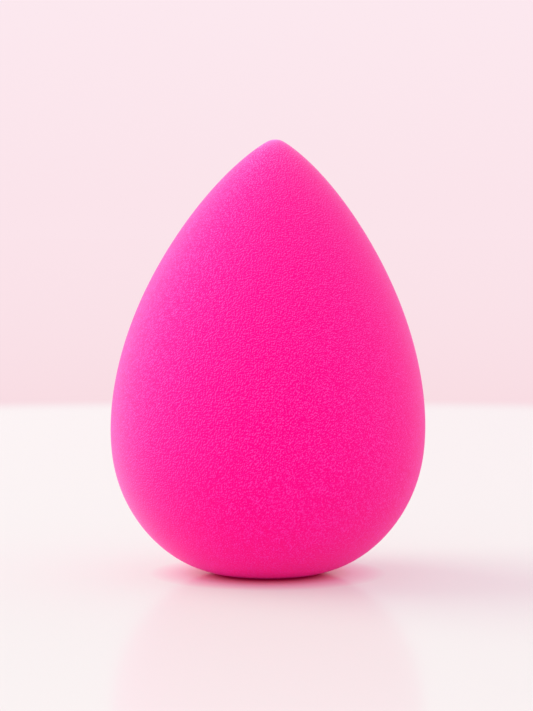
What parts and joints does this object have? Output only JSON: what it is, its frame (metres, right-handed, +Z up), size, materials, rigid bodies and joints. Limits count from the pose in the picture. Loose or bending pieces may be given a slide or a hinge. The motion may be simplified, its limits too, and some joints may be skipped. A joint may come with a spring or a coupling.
{
  "type": "makeup sponge",
  "caption": "Teardrop makeup sponge of soft moulded foam, with a rounded base, a blunt tip and a small flat foot to stand on.",
  "frame": {"origin": "centre of the flat foot, on the surface the sponge stands on", "axes": "+Z up along the axis of the teardrop, from the foot to the tip; the body is round, so X and Y are alike, and -Y faces the viewer"},
  "size_m": [0.0434, 0.0434, 0.06],
  "materials": {
    "foam": "matt open-celled polyurethane foam, fine pores, dyed pink right through"
  },
  "bodies": {
    "root": {"sponge_body": "foam"}
  },
  "joints": []
}
